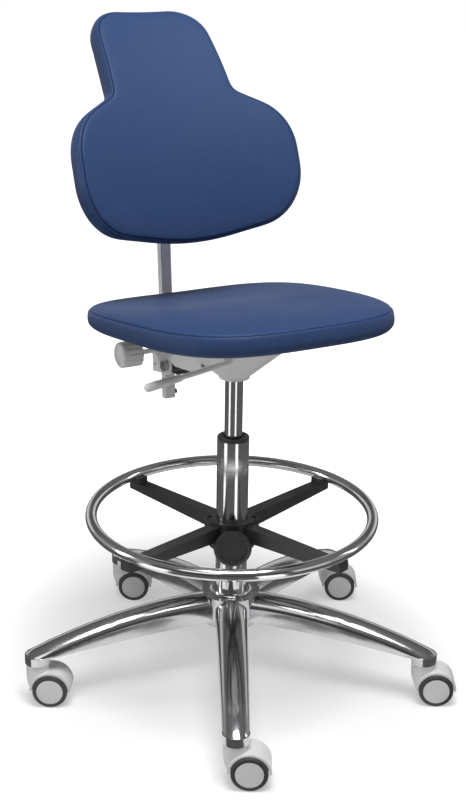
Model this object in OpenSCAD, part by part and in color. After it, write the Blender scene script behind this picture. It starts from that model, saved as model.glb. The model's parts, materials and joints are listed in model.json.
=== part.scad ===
// Height-adjustable dentist stool with a foot ring, a tilting backrest and five casters.
// Millimetres, +Z up. The origin is on the floor under the column axis and the sitter faces -Y.

/* [Base] */
// Radius of the circle on which the caster stems stand
stem_circle = 316; // [270:1:360]
// Turn of the base under the seat, seen from above
base_turn = 44; // [0:1:71]
// Width of a leg where it leaves the hub
leg_root_width = 50; // [40:1:58]
// Width of a leg at its tip, which is also the diameter of the caster boss
leg_tip_width = 40; // [34:1:48]
// Wall of the hollow legs
leg_wall = 4.5; // [3.5:0.5:6]
// Height of the leg crest at the hub
crest_root = 143; // [125:1:160]
// Height of the leg crest above the stem
crest_tip = 92; // [86:1:104]
// Height of the skirt's lower edge at the hub
skirt_root = 102; // [92:1:110]
// Height of the skirt's lower edge at the caster boss
skirt_tip = 77; // [72:1:82]
// Height of the flat lower face of the caster bosses
boss_bottom = 68; // [66:1:72]
// Outside diameter of the hub
hub_d = 92; // [80:1:104]

/* [Casters] */
// Wheel diameter
wheel_d = 54; // [48:0.5:56]
// Width of one wheel
wheel_width = 17; // [13:0.5:20]
// Thickness of the hood's middle web
web_width = 12; // [10:0.5:16]
// Distance from the stem axis back to the axle
caster_trail = 20; // [16:0.5:26]
// Direction in which the casters trail at rest
trail_angle = -31; // [-180:1:180]
// Diameter of the hood over the wheels
hood_d = 63; // [59:0.5:66]
// Diameter of the hood's stem collar
collar_d = 37; // [30:0.5:40]
// Diameter of the light wheel cap
cap_d = 41; // [34:0.5:44]
// Diameter of the caster stem
stem_d = 11; // [9:0.5:12]
// Diameter of the wheel axle
axle_d = 6; // [5:0.5:8]

/* [Column] */
// Outside diameter of the column tube
column_d = 50; // [46:0.5:54]
// Wall of the column tube
column_wall = 2; // [1.5:0.25:3]
// Height of the top of the column tube
column_top = 402; // [380:1:430]
// Height of the lower end of the column tube, below the hub
column_bottom = 88; // [80:1:92]
// Diameter of the gas cylinder
cylinder_d = 28; // [26:0.5:30]
// Height of the lower end of the gas cylinder
cylinder_bottom = 155; // [140:1:165]
// Wall of the gas cylinder
cylinder_wall = 2; // [1.5:0.25:3]
// Diameter of the piston rod
rod_d = 10; // [8:0.5:12]
// Height of the visible collar of the guide bush
bush_collar = 5; // [4:0.5:12]
// Length of the guide bush inside the tube
bush_length = 80; // [60:1:90]

/* [Foot ring] */
// Radius of the foot ring's centre line
ring_radius = 221; // [190:1:240]
// Diameter of the foot ring's tube
ring_tube_d = 18; // [16:0.5:22]
// Wall of the foot ring's tube
ring_wall = 1.5; // [1:0.25:2.5]
// Height of the foot ring's centre line
ring_height = 278; // [265:1:300]
// Turn of the ring's arms, with the knob between the two front arms
ring_turn = -118; // [-180:1:180]
// Width of an arm
arm_width = 20; // [14:1:24]
// Depth of an arm at the hub
arm_root_depth = 26; // [22:1:36]
// Depth of an arm under the ring
arm_tip_depth = 13; // [11:1:20]
// Outside diameter of the arms' hub
ring_hub_d = 74; // [68:1:84]
// Diameter of the clamp knob
clamp_knob_d = 59; // [44:1:62]
// Length of the clamp knob
clamp_knob_length = 18; // [14:1:26]

/* [Seat] */
// Seat width
seat_width = 390; // [370:1:480]
// Seat depth
seat_depth = 430; // [390:1:460]
// Thickness of the cushion at its edge
seat_thickness = 33; // [30:1:56]
// Backward slope of the seat
seat_tilt = 6; // [2:0.5:8]
// Height of the seat board's lower face over the column axis
seat_height = 584; // [530:1:640]
// Thickness of the seat board
board_thickness = 10; // [8:0.5:14]

/* [Mechanism] */
// Backward lean of the back post and its bracket
post_lean = 4; // [2:0.5:6]
// Thickness of the pressed steel of the mechanism
sheet = 3; // [2:0.25:4]
// Width over the two bracket plates
bracket_width = 70; // [64:1:84]
// Distance from the column axis to the backrest pivot
pivot_y = 160; // [150:1:170]
// Diameter of the pivot bolt
pivot_d = 10; // [8:0.5:12]
// Diameter of the backrest knob
back_knob_d = 42; // [32:1:46]
// Length of the backrest knob
back_knob_length = 41; // [28:1:46]
// Diameter of the backrest knob's screw
knob_screw_d = 8; // [6:0.5:10]
// Reach of the release lever from its shaft to its tip
lever_reach = 142; // [110:1:170]
// Diameter of the release lever's rod
lever_d = 8; // [6:0.5:9]
// Diameter of the lever's grip
grip_d = 13; // [11:0.5:16]

/* [Backrest] */
// Width of the backrest's lower lobe
back_width = 382; // [350:1:420]
// Length of the backrest along its curve
back_length = 396; // [360:1:420]
// Height of the lobe's shoulders above the lower end, along the curve
shoulder_height = 198; // [180:1:220]
// Height of the neck between lobe and tongue, along the curve
neck_height = 246; // [232:1:270]
// Width of the backrest's upper tongue at the neck
tongue_width = 212; // [170:1:240]
// Width of the tongue at its top
tongue_top_width = 189; // [150:1:220]
// Thickness of the back cushion
back_thickness = 40; // [30:1:55]
// Radius of the hollow across the back
back_radius = 700; // [500:10:1000]
// Radius of the backward bend of the back
bend_radius = 470; // [420:5:700]
// Thickness of the back shell
shell_thickness = 6; // [4:0.5:9]
// Width of the back post
post_width = 20; // [16:0.5:26]
// Depth of the back post
post_depth = 14; // [10:0.5:18]
// Wall of the back post
post_wall = 2; // [1.5:0.25:3]

/* [Clearances] */
// Radial gap of a running fit
running_fit = 0.08; // [0.04:0.01:0.1]
// Radial gap of a pressed or tapered seat
seat_fit = 0.03; // [0.02:0.01:0.05]
// Gap between neighbours that slide or swing past each other
slide_gap = 0.4; // [0.3:0.05:0.8]
// Gap between a soft piece and its neighbour
soft_gap = 0.3; // [0.3:0.05:0.6]

/* [Hidden] */
$fn = 48;
leg_count = 5;
leg_start = 24;
leg_bend = 1.9;
skirt_bend = 1.6;
tip_round = 9;
arch_steps = 10;
leg_stations = 14;
hub_rise = 5;
hub_lip = 5;
hub_skirt = 8;
hub_top = crest_root + hub_rise;

function leg_angle(k) = base_turn + 360 / leg_count * k - 90;

// Height of a leg's crest and of its skirt at distance r from the column axis
function along_leg(r) = max(0, min(1.05, (r - hub_d / 2) / (stem_circle - hub_d / 2)));
function crest(r) = crest_root - (crest_root - crest_tip) * pow(along_leg(r), leg_bend) - tip_drop(r);
function tip_drop(r) =
  r < stem_circle ? 0
  : tip_round * (1 - sqrt(max(0, 1 - pow((r - stem_circle) / (leg_tip_width / 2), 2))));
function skirt(r) = skirt_root - (skirt_root - skirt_tip) * pow(min(1, along_leg(r)), skirt_bend);
// Half width of the leg's arch, and the half width left by the round tip
function arch_half(r) = (leg_root_width + (leg_tip_width - leg_root_width) * min(1, along_leg(r))) / 2;
function tip_half(r) =
  r < stem_circle ? arch_half(r)
  : sqrt(max(0.04, pow(leg_tip_width / 2, 2) - pow(r - stem_circle, 2)));
// Depth of the rounded top below the crest, at distance y from the leg's middle
function arch_drop(y, half) = 0.78 * half * (1 - sqrt(max(0, 1 - pow(y / (half * 1.004), 2))));
// Points of one leg section: skirt edge, arch, skirt edge
function leg_section(r, inset) =
  let (half = arch_half(r) - inset, cut = min(half, tip_half(r) - inset))
  concat(
    [[r, -cut, skirt(r) - (inset > 0 ? 2 * leg_wall : 0)]],
    [for (i = [0:arch_steps])
      let (y = -cut * cos(180 * i / arch_steps)) [r, y, crest(r) - inset - arch_drop(y, half)]],
    [[r, cut, skirt(r) - (inset > 0 ? 2 * leg_wall : 0)]]
  );
leg_last = stem_circle - leg_tip_width * 0.55;
function leg_radii(last) =
  concat(
    [for (i = [0:leg_stations - 1]) leg_start + (leg_last - leg_start) * i / (leg_stations - 1)],
    last > stem_circle ? [for (a = [18:18:90]) stem_circle + (leg_tip_width / 2) * sin(a) - 0.01] : []
  );

// Closed skin over rings of points that all have the same count. Two skins that face each other
// follow the same facets when their rings run in opposite order and one of them is cross cut.
module skin(rings, cross_cut = false) {
  n = len(rings[0]);
  m = len(rings);
  points = [for (ring = rings) each ring];
  sides = [for (j = [0:m - 2]) for (i = [0:n - 1])
    let (a = j * n + i, b = j * n + (i + 1) % n)
    each (cross_cut ? [[a, b, b + n], [a, b + n, a + n]] : [[a, b, a + n], [b, b + n, a + n]])];
  first = [for (i = [1:n - 2]) [0, i + 1, i]];
  last = [for (i = [1:n - 2]) [(m - 1) * n, (m - 1) * n + i, (m - 1) * n + i + 1]];
  polyhedron(points = points, faces = concat(sides, first, last), convexity = 6);
}

module base_star() {
  color("gainsboro") difference() {
    union() {
      for (k = [0:leg_count - 1])
        rotate(leg_angle(k)) {
          difference() {
            skin([for (r = leg_radii(stem_circle + 1)) leg_section(r, 0)]);
            skin([for (r = leg_radii(stem_circle - 1)) leg_section(r, leg_wall)]);
          }
          translate([stem_circle, 0, boss_bottom])
            cylinder(d = leg_tip_width, h = skirt_tip + leg_wall - boss_bottom);
        }
      rotate_extrude() polygon(hub_profile());
    }
    translate([0, 0, column_bottom]) column_taper(seat_fit);
    for (k = [0:leg_count - 1])
      rotate(leg_angle(k)) translate([stem_circle, 0, boss_bottom - 1])
        cylinder(d = stem_d + 2 * seat_fit, h = stem_grip + 2);
  }
}

// Points of an arc about c
function arc(c, r, from, to, steps) =
  [for (i = [0:steps]) let (a = from + (to - from) * i / steps) [c[0] + r * cos(a), c[1] + r * sin(a)]];

function hub_profile() =
  concat(
    [[leg_start / 2, skirt_root - hub_skirt], [hub_d / 2, skirt_root - hub_skirt]],
    [[hub_d / 2, crest_root]],
    arc([column_d / 2 + hub_lip + hub_rise, hub_top], hub_rise, 270, 180, 6),
    [[leg_start / 2, hub_top]]
  );

// Caster stems

stem_grip = 17;
stem_in_hood = 18;
function stem_place(k) = [stem_circle * cos(leg_angle(k)), stem_circle * sin(leg_angle(k)), 0];

module caster_stems() {
  color("silver") for (k = [0:leg_count - 1])
    translate(stem_place(k)) translate([0, 0, boss_bottom - stem_in_hood])
      cylinder(d = stem_d, h = stem_in_hood + stem_grip);
}

// Casters, in a frame with the stem axis on Z and the wheels behind it on +X

axle_z = wheel_d / 2;
wheel_gap = 1.2;
wheel_side_gap = 0.4;
hood_width = web_width + 2 * wheel_side_gap + 2 * wheel_width - 5;
hood_top = boss_bottom - slide_gap;
collar_turn_in = 25;
collar_turn_radius = 38.5;
web_boss_d = 24;
wheel_round = 3;
cap_seat = 2.6;
wheel_offset = web_width / 2 + wheel_side_gap;
axle_length = 2 * (wheel_offset + wheel_width - cap_seat) - 1.2;

module at_caster(k) {
  translate(stem_place(k)) rotate(trail_angle) children();
}

module across(d, width) {
  rotate([90, 0, 0]) cylinder(d = d, h = width, center = true);
}

module caster_hood() {
  turn_z = axle_z + collar_turn_in;
  color("lightgray") difference() {
    union() {
      intersection() {
        translate([caster_trail, 0, axle_z]) across(hood_d, hood_width);
        translate([caster_trail - hood_d, -hood_width, axle_z]) cube([2 * hood_d, 2 * hood_width, hood_d]);
      }
      translate([0, 0, turn_z]) cylinder(d = collar_d, h = hood_top - turn_z);
      intersection() {
        translate([0, 0, axle_z + 2]) cylinder(d = collar_d, h = turn_z - axle_z - 2);
        translate([caster_trail, 0, turn_z]) across(2 * collar_turn_radius, collar_d + 2);
      }
      translate([caster_trail, 0, axle_z]) across(web_boss_d, web_width);
    }
    for (side = [-1, 1])
      translate([caster_trail, side * (web_width / 2 + hood_width), axle_z])
        across(wheel_d + 2 * wheel_gap, 2 * hood_width);
    translate([0, 0, boss_bottom - stem_in_hood - slide_gap])
      cylinder(d = stem_d + 2 * running_fit, h = stem_in_hood + 2);
    translate([caster_trail, 0, axle_z]) across(axle_d + 2 * seat_fit, web_width + 2);
  }
}

module caster_axle() {
  color("silver") translate([caster_trail, 0, axle_z]) across(axle_d, axle_length);
}

// One wheel turned about Z, with its inner face at z = 0
module wheel_turned() {
  r = wheel_d / 2;
  bore = axle_d / 2 + running_fit;
  w = wheel_width;
  rotate_extrude() polygon(concat(
    [[bore, 0], [bore + 4, 0], [bore + 5, w * 0.4], [cap_d / 2 - 2, w * 0.4], [cap_d / 2, 0.5]],
    arc([r - wheel_round, wheel_round], wheel_round, -90, 0, 4),
    arc([r - wheel_round, w - wheel_round], wheel_round, 0, 90, 4),
    [[cap_d / 2 + seat_fit + 0.6, w], [cap_d / 2 + seat_fit, w - 0.6]],
    [[cap_d / 2 + seat_fit, w - cap_seat], [bore, w - cap_seat]]
  ));
}

module cap_turned() {
  rotate_extrude() polygon(concat(
    [[0, wheel_width - cap_seat], [cap_d / 2, wheel_width - cap_seat]],
    [[cap_d / 2, wheel_width - 0.4], [cap_d / 2 - 1, wheel_width + 0.2], [0, wheel_width + 0.8]]
  ));
}

// Places a piece turned about Z on the axle, with its inner face toward the hood's web
module on_axle(side) {
  translate([caster_trail, side * wheel_offset, axle_z]) rotate([-90 * side, 0, 0]) children();
}

module caster_wheel(side) {
  color("dimgray") on_axle(side) wheel_turned();
}

module caster_cap(side) {
  color("lightgray") on_axle(side) cap_turned();
}

// Column and gas lift

taper_d = 47.5;
floor_plate = 3;
bearing_height = 9;
bearing_d = 30;
clip_thickness = 2;
clip_d = 20;
clip_gap = 0.3;
rod_end = 6;
bush_round = 2;
rod_shoulder = 4;
rod_shoulder_d = 18;
piston_height = 15;
cylinder_floor = 12;
lift_up = 170;
socket_taper = 1.6;
cylinder_head = 24;
// The mechanism hangs under the seat and takes the cylinder's tapered end in its socket
mechanism_drop = 82;
socket_length = 44;
socket_bottom = seat_height - mechanism_drop;
cylinder_top = socket_bottom + socket_length;
head_bottom = cylinder_top - cylinder_head;
cylinder_bore = cylinder_d - 2 * cylinder_wall;
pin_d = 6;
pin_top = cylinder_top + 5;
pin_length = 30;
bearing_bottom = column_bottom + floor_plate;
column_bore_low = taper_d - 2 * column_wall - 1;
column_bore = column_d - 2 * column_wall;
column_hole_angle = -156;
column_hole_drop = 7;
column_hole_d = 3;

module column_taper(gap) {
  cylinder(d1 = taper_d + 2 * gap, d2 = column_d + 2 * gap, h = hub_top - column_bottom);
  if (gap > 0) translate([0, 0, hub_top - column_bottom]) cylinder(d = column_d + 2 * gap, h = 5);
}

module outer_column() {
  color("lightsteelblue") difference() {
    union() {
      translate([0, 0, column_bottom]) column_taper(0);
      translate([0, 0, hub_top]) cylinder(d = column_d, h = column_top - hub_top);
    }
    translate([0, 0, bearing_bottom]) cylinder(d = column_bore_low, h = column_top);
    translate([0, 0, hub_top]) cylinder(d = column_bore, h = column_top);
    translate([0, 0, column_bottom - 1]) cylinder(d = rod_d + 2 * running_fit, h = floor_plate + 2);
    rotate(column_hole_angle) translate([0, 0, column_top - column_hole_drop]) rotate([0, 90, 0])
      cylinder(d = column_hole_d, h = column_d);
  }
}

module column_bush() {
  r = column_d / 2;
  bore = cylinder_d / 2 + running_fit;
  low = column_top - bush_length;
  top = column_top + bush_collar;
  color("black") rotate_extrude() polygon(concat(
    [[bore, low], [column_bore / 2 - seat_fit, low], [column_bore / 2 - seat_fit, column_top]],
    [[r, column_top]],
    arc([r - bush_round, top - bush_round], bush_round, 0, 90, 4),
    [[bore + 5, top], [bore + 4, top - bush_round], [bore, top - bush_round]]
  ));
}

module thrust_bearing() {
  r = bearing_d / 2;
  bore = rod_d / 2 + running_fit;
  h = bearing_height;
  z = bearing_bottom;
  color("silver") rotate_extrude() polygon([
    [bore, z], [r, z], [r, z + h * 0.3], [r - 2, z + h * 0.35], [r - 2, z + h * 0.65],
    [r, z + h * 0.7], [r, z + h], [bore, z + h]
  ]);
}

module piston_rod() {
  shoulder_z = bearing_bottom + bearing_height;
  piston_z = cylinder_bottom + lift_up + cylinder_floor + 1;
  color("silver") union() {
    translate([0, 0, column_bottom - rod_end])
      cylinder(d = rod_d, h = piston_z + 1 - column_bottom + rod_end);
    translate([0, 0, shoulder_z]) cylinder(d = rod_shoulder_d, h = rod_shoulder);
    translate([0, 0, piston_z]) cylinder(d = cylinder_bore - 2 * running_fit, h = piston_height);
  }
}

module rod_clip() {
  color("dimgray") translate([0, 0, column_bottom - clip_thickness - clip_gap]) difference() {
    cylinder(d = clip_d, h = clip_thickness);
    translate([0, 0, -1]) cylinder(d = rod_d + 2 * seat_fit, h = clip_thickness + 2);
    translate([0, -rod_d * 0.35, -1]) cube([clip_d, rod_d * 0.7, clip_thickness + 2]);
  }
}

module gas_cylinder() {
  color("silver") difference() {
    union() {
      translate([0, 0, cylinder_bottom]) cylinder(d = cylinder_d, h = socket_bottom - cylinder_bottom);
      translate([0, 0, socket_bottom])
        cylinder(d1 = cylinder_d, d2 = cylinder_d - socket_taper, h = cylinder_top - socket_bottom);
    }
    translate([0, 0, cylinder_bottom - 1]) cylinder(d = rod_d + 2 * running_fit, h = cylinder_floor + 2);
    translate([0, 0, cylinder_bottom + cylinder_floor])
      cylinder(d = cylinder_bore, h = head_bottom - cylinder_bottom - cylinder_floor);
    translate([0, 0, head_bottom - 1]) cylinder(d = pin_d + 2 * running_fit, h = cylinder_head + 2);
  }
}

module release_pin() {
  color("silver") translate([0, 0, pin_top - pin_length]) cylinder(d = pin_d, h = pin_length);
}

// Foot ring and its spider, in a frame with the clamp knob on +X

arm_top = ring_height - ring_tube_d / 2 - 2;
arm_end = ring_radius + 6;
arm_knee = 0.8;
saddle_inside = 17;
saddle_height = 9;
clamp_drop = 24.5;
clamp_z = arm_top - clamp_drop;
clamp_boss_d = 32;
clamp_boss_end = 46;
clamp_screw_d = 8;
ear_d = 18;
ring_screw_d = 5;
ring_screw_head = 9;
ring_screw_head_h = 4;
ring_screw_in = 5;

module ring_frame() {
  rotate(ring_turn) children();
}

module on_arms() {
  for (a = [45:90:315]) rotate(a) children();
}

module ring_torus(d) {
  translate([0, 0, ring_height]) rotate_extrude($fn = 96) translate([ring_radius, 0]) circle(d = d);
}

module foot_ring() {
  color("lightsteelblue") ring_frame() difference() {
    ring_torus(ring_tube_d);
    ring_torus(ring_tube_d - 2 * ring_wall);
    on_arms() translate([ring_radius, 0, ring_height - ring_tube_d])
      cylinder(d = ring_screw_d + 2 * seat_fit, h = ring_tube_d);
  }
}

module ring_spider() {
  hub_bottom = clamp_z - clamp_boss_d / 2 - 2;
  color("black") ring_frame() difference() {
    union() {
      translate([0, 0, hub_bottom]) cylinder(d = ring_hub_d, h = arm_top + 3 - hub_bottom);
      on_arms() rotate([90, 0, 0]) linear_extrude(arm_width, center = true) polygon([
        [column_d / 4, arm_top], [arm_end, arm_top], [arm_end, arm_top - arm_tip_depth],
        [arm_end * arm_knee, arm_top - arm_tip_depth - 3], [column_d / 4, arm_top - arm_root_depth]
      ]);
      on_arms() translate([ring_radius - saddle_inside, -arm_width / 2 + 1, arm_top - 1])
        cube([arm_end - ring_radius + saddle_inside, arm_width - 2, saddle_height + 1]);
      translate([0, 0, clamp_z]) rotate([0, 90, 0]) cylinder(d = clamp_boss_d, h = clamp_boss_end);
      for (side = [-1, 1]) translate([0, side * ring_hub_d * 0.46, hub_bottom + 6])
        cylinder(d = ear_d, h = arm_top + 1 - hub_bottom - 6);
    }
    translate([0, 0, hub_bottom - 1]) cylinder(d = column_d + 2 * slide_gap, h = arm_top + 5 - hub_bottom);
    ring_torus(ring_tube_d + 2 * seat_fit);
    on_arms() translate([ring_radius, 0, arm_top - arm_tip_depth - 5]) {
      cylinder(d = ring_screw_d + 2 * seat_fit, h = arm_tip_depth + 12);
      cylinder(d = ring_screw_head + 2 * seat_fit, h = ring_screw_head_h + 5);
    }
    translate([0, 0, clamp_z]) rotate([0, 90, 0])
      cylinder(d = clamp_screw_d + 2 * running_fit, h = clamp_boss_end + 1);
    for (side = [-1, 1]) translate([0, side * (ring_hub_d * 0.46 + 1), arm_top - 2]) cylinder(d = 9, h = 6);
  }
}

module ring_screws() {
  head_z = arm_top - arm_tip_depth + 0.2;
  color("dimgray") ring_frame() on_arms() translate([ring_radius, 0, head_z]) {
    cylinder(d = ring_screw_head, h = ring_screw_head_h - 0.2);
    cylinder(d = ring_screw_d, h = ring_height - ring_tube_d / 2 + ring_screw_in - head_z);
  }
}

module clamp_screw() {
  color("silver") ring_frame() translate([column_d / 2 + soft_gap, 0, clamp_z]) rotate([0, 90, 0])
    cylinder(d = clamp_screw_d, h = clamp_boss_end + slide_gap + clamp_knob_length - 6 - column_d / 2);
}

module clamp_knob() {
  r = clamp_knob_d / 2;
  len = clamp_knob_length;
  bore = clamp_screw_d / 2 + seat_fit;
  deep = len - 6 + soft_gap;
  color("black") ring_frame() translate([clamp_boss_end + slide_gap, 0, clamp_z]) rotate([0, 90, 0])
    rotate_extrude() polygon(concat(
      [[bore, 0], [r * 0.62, 0], [r - 3, 3]],
      arc([r - 5, len - 5], 5, 0, 90, 5),
      [[r * 0.72, len], [r * 0.7, len - 1.5], [0, len - 1.5], [0, deep], [bore, deep]]
    ));
}

// Mechanism under the seat

pan_width = 230;
pan_depth = 190;
pan_shift = -5;
pan_steps = 48;
pan_power = 4;
pan_neck_d = 52;
collar_height = 5;
collar_ring_d = 48;
socket_d = 36;
flange_rim = 12;
seat_bolt_x = 100;
seat_bolt_y = 84;
seat_bolt_d = 6;
seat_bolt_head = 12;
seat_bolt_head_h = 4;
seat_bolt_in = 7;
bracket_front = 45;
bracket_rear = 210;
bracket_top = 56;
bracket_bottom = -33;
bracket_edge = -9;
pivot_z = -14;
ear_radius = 14;
knob_y = 189;
knob_z = 6.5;
tilt_back = 10;
tilt_forward = 4;
spare_hole_d = 5;
slot_steps = 4;
post_rise = 3;
lever_offset = 49;
lever_rise = 53.3;
lever_z = socket_bottom + lever_rise;
lever_bend_y = -78;
lever_bearing_wall = 3;
lever_slope = 8;
lever_bend_radius = 9;
cam_reach = 4;
cam_width = 10;

function along_power(v, power) = sign(v) * pow(abs(v), 2 / power);
// A point of the seat's frame, given in the frame of the whole stool
function seat_world(p) = [
  p[0],
  p[1] * cos(seat_tilt) + p[2] * sin(seat_tilt),
  seat_height - p[1] * sin(seat_tilt) + p[2] * cos(seat_tilt)
];
function pan_outline(grow) = [for (i = [0:pan_steps - 1]) let (a = 360 * i / pan_steps) [
  (pan_width / 2 + grow) * along_power(cos(a), pan_power),
  pan_shift + (pan_depth / 2 + grow) * along_power(sin(a), pan_power)
]];
function pan_rim(inset) = [for (p = pan_outline(-inset))
  seat_world([p[0], p[1], inset > 0 ? sheet : -sheet / 2])];
function pan_neck(inset) = [for (i = [0:pan_steps - 1])
  let (a = 360 * i / pan_steps, r = pan_neck_d / 2 - inset)
  [r * cos(a), r * sin(a), socket_bottom + collar_height + inset * 0.6]];

module in_seat_frame() {
  translate([0, 0, seat_height]) rotate([-seat_tilt, 0, 0]) children();
}

module in_post_frame() {
  translate([0, 0, socket_bottom + post_rise]) rotate([-post_lean, 0, 0]) children();
}

module at_seat_bolts() {
  for (x = [-1, 1], y = [-1, 1]) translate([x * seat_bolt_x, pan_shift + y * seat_bolt_y, 0]) children();
}

// A round bar along X, centred on the middle plane, at y and z of the post's frame
module cross_bar(y, z, d, length) {
  translate([0, y, z]) rotate([0, 90, 0]) cylinder(d = d, h = length, center = true);
}

// Slot in which the backrest's clamp screw travels as the carrier tilts
module tilt_slot() {
  reach = norm([knob_y - pivot_y, knob_z - pivot_z]);
  at_rest = atan2(knob_z - pivot_z, knob_y - pivot_y);
  w = knob_screw_d + 2 * slide_gap;
  low = at_rest - tilt_back;
  high = at_rest + tilt_forward;
  function on_reach(a, out) = (reach + out) * [cos(a), sin(a)];
  translate([pivot_y, pivot_z]) polygon(concat(
    arc(on_reach(high, 0), w / 2, high, high + 180, 8),
    [for (i = [1:slot_steps - 1]) on_reach(high - (high - low) * i / slot_steps, -w / 2)],
    arc(on_reach(low, 0), w / 2, low + 180, low + 360, 8),
    [for (i = [1:slot_steps - 1]) on_reach(low + (high - low) * i / slot_steps, w / 2)]
  ));
}

module bracket_plate() {
  difference() {
    union() {
      polygon([
        [bracket_front, bracket_top], [bracket_front, -4], [pivot_y - 32, bracket_edge],
        [pivot_y - 10, bracket_edge + 6], [pivot_y, pivot_z - ear_radius],
        [bracket_rear, bracket_bottom], [bracket_rear, bracket_top]
      ]);
      translate([pivot_y, pivot_z]) circle(r = ear_radius);
    }
    translate([pivot_y, pivot_z]) circle(d = pivot_d + 2 * seat_fit);
    tilt_slot();
    translate([pivot_y - 21, knob_z + 1]) circle(d = spare_hole_d);
    translate([bracket_rear - 9, bracket_bottom + 14]) circle(d = spare_hole_d);
  }
}

module seat_mechanism() {
  color("whitesmoke") difference() {
    union() {
      difference() {
        skin([pan_rim(0), pan_neck(0)]);
        skin([pan_rim(sheet * 1.8), pan_neck(sheet * 1.8)]);
      }
      in_seat_frame() translate([0, 0, -sheet]) linear_extrude(sheet) difference() {
        polygon(pan_outline(flange_rim));
        polygon(pan_outline(-sheet));
      }
      translate([0, 0, socket_bottom]) cylinder(d = socket_d, h = cylinder_top - 2 - socket_bottom);
      translate([0, 0, socket_bottom]) cylinder(d = collar_ring_d, h = collar_height + 2);
      in_post_frame() {
        for (side = [0, 1]) mirror([side, 0, 0]) translate([bracket_width / 2 - sheet, 0, 0])
          rotate([90, 0, 90]) linear_extrude(sheet) bracket_plate();
        translate([-bracket_width / 2, bracket_front, bracket_top - sheet])
          cube([bracket_width, bracket_rear - bracket_front - 5, sheet]);
      }
      translate([-lever_offset, lever_bend_y + lever_bend_radius + 1, lever_z]) rotate([-90, 0, 0])
        cylinder(d = lever_d + 2 * lever_bearing_wall, h = 42);
    }
    translate([0, 0, socket_bottom]) cylinder(
      d1 = cylinder_d + 2 * seat_fit,
      d2 = cylinder_d - socket_taper + 2 * seat_fit,
      h = cylinder_top - socket_bottom
    );
    translate([0, 0, socket_bottom - 1]) cylinder(d = cylinder_d + 2 * seat_fit, h = 1.01);
    translate([-lever_offset, lever_bend_y - 5, lever_z]) rotate([-90, 0, 0])
      cylinder(d = lever_d + 2 * running_fit, h = 80);
    in_seat_frame() translate([0, 0, -2 * sheet]) at_seat_bolts()
      cylinder(d = seat_bolt_d + 2 * seat_fit, h = 3 * sheet);
  }
}

module lever_frame() {
  translate([-lever_offset, 0, lever_z]) children();
}

module lever_rod() {
  bend = lever_bend_radius;
  color("silver") lever_frame() union() {
    translate([0, lever_bend_y + bend, 0]) rotate([-90, 0, 0])
      cylinder(d = lever_d, h = cam_width / 2 - lever_bend_y - bend);
    translate([-lever_d / 2, -cam_width / 2, -lever_d / 2])
      cube([lever_offset + cam_reach + lever_d / 2, cam_width, lever_d]);
    rotate([0, -lever_slope, 0]) {
      translate([-bend, lever_bend_y + bend, 0]) rotate([0, 0, -90])
        rotate_extrude(angle = 90) translate([bend, 0]) circle(d = lever_d);
      translate([-bend, lever_bend_y, 0]) rotate([0, -90, 0])
        cylinder(d = lever_d, h = lever_reach - bend - grip_end);
    }
  }
}

grip_length = 58;
grip_end = 8;

module lever_grip() {
  r = grip_d / 2;
  bore = lever_d / 2 + seat_fit;
  deep = grip_length - grip_end + soft_gap;
  color("lightgray") lever_frame() rotate([0, -lever_slope, 0])
    translate([grip_length - lever_reach, lever_bend_y, 0]) rotate([0, -90, 0])
    rotate_extrude() polygon(concat(
      [[bore, 0], [r - 1.5, 0], [r - 1, 1.5], [r, grip_length * 0.7]],
      arc([0, grip_length - r], r, 15, 90, 6),
      [[0, deep], [bore, deep]]
    ));
}

// Seat

seat_power = 3.4;
seat_steps = 56;
seat_shift = -20;
seat_front_taper = 0.06;
hollow_depth = 14;
hollow_half = 150;
hollow_y = 110;
hollow_reach = 105;
front_drop = 5;
board_scale = 0.9;
// Share of the outline, height and share of the sitting form of each ring of the cushion,
// from the crown down to the board's pocket
seat_rings = [
  [0.15, 5, 1], [0.4, 5.5, 1], [0.62, 6, 1], [0.8, 5, 1], [0.9, 2, 1], [0.955, -3, 0.55], [0.982, -9, 0],
  [0.978, -11, 0], [0.99, -14, 0], [1, -24, 0], [0.99, -36, 0], [0.965, -42, 0], [0.93, -45, 0]
];

function seat_outline(scale) = [for (i = [0:seat_steps - 1])
  let (a = 360 * i / seat_steps, y = along_power(sin(a), seat_power))
  [seat_width / 2 * along_power(cos(a), seat_power) * (1 + seat_front_taper * y) * scale,
    seat_shift + seat_depth / 2 * y * scale]];
// The sitting hollow toward the rear and the drop of the front edge
function seat_form(x, y) =
  -hollow_depth * exp(-pow(x / hollow_half, 2) - pow((y - hollow_y) / hollow_reach, 2))
  - front_drop * pow(max(0, -y / (seat_depth / 2)), 3);

module seat_board() {
  color("dimgray") in_seat_frame() difference() {
    linear_extrude(board_thickness) polygon(seat_outline(board_scale));
    translate([0, 0, -1]) at_seat_bolts() cylinder(d = seat_bolt_d + 2 * seat_fit, h = seat_bolt_in + 1);
  }
}

module seat_cushion() {
  pocket = board_scale + soft_gap / (seat_depth / 2);
  top = seat_thickness;
  color("royalblue") in_seat_frame() skin(concat(
    [for (ring = seat_rings) [for (p = seat_outline(ring[0]))
      [p[0], p[1], top + ring[1] * seat_thickness / 46 + ring[2] * seat_form(p[0], p[1])]]],
    [[for (p = seat_outline(pocket)) [p[0], p[1], 1]]],
    [[for (p = seat_outline(pocket)) [p[0], p[1], board_thickness + soft_gap]]]
  ));
}

module seat_bolts() {
  color("silver") in_seat_frame() at_seat_bolts() translate([0, 0, -sheet - seat_bolt_head_h]) {
    cylinder(d = seat_bolt_head, h = seat_bolt_head_h, $fn = 6);
    cylinder(d = seat_bolt_d, h = seat_bolt_head_h + sheet + seat_bolt_in - 0.5);
  }
}

// Backrest, in the frame of its post

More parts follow.
